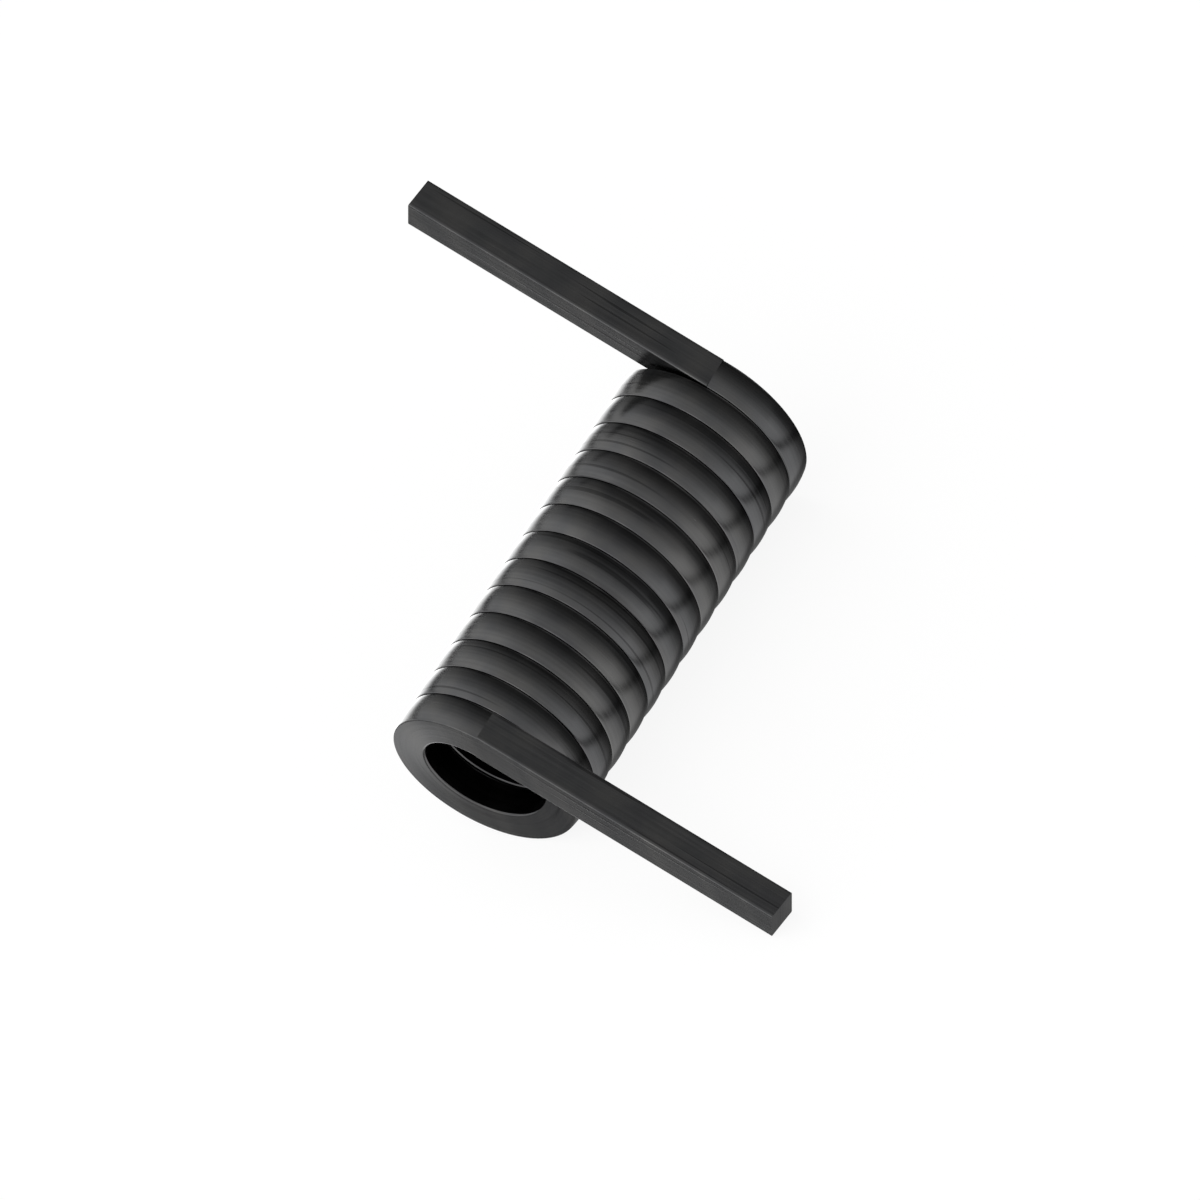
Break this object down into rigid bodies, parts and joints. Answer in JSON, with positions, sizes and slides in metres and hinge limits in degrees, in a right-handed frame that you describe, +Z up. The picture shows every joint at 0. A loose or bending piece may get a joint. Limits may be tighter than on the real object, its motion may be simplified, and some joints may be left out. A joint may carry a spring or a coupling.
{
  "type": "torsion spring",
  "caption": "Close-wound left-hand torsion spring of rectangular wire, open through the coil, with two straight legs pointing opposite ways.",
  "frame": {"origin": "middle of the coil, on its axis", "axes": "+X along the coil's axis, +Z up as the spring lies at rest; the leg at the -X end runs forward, towards -Y, and down to the ground"},
  "size_m": [0.06, 0.0699, 0.0372],
  "materials": {
    "spring_steel": "black oxide over drawn spring wire, satin, with fine drawing marks along the wire"
  },
  "bodies": {
    "root": {"torsion_spring": "spring_steel"}
  },
  "joints": []
}
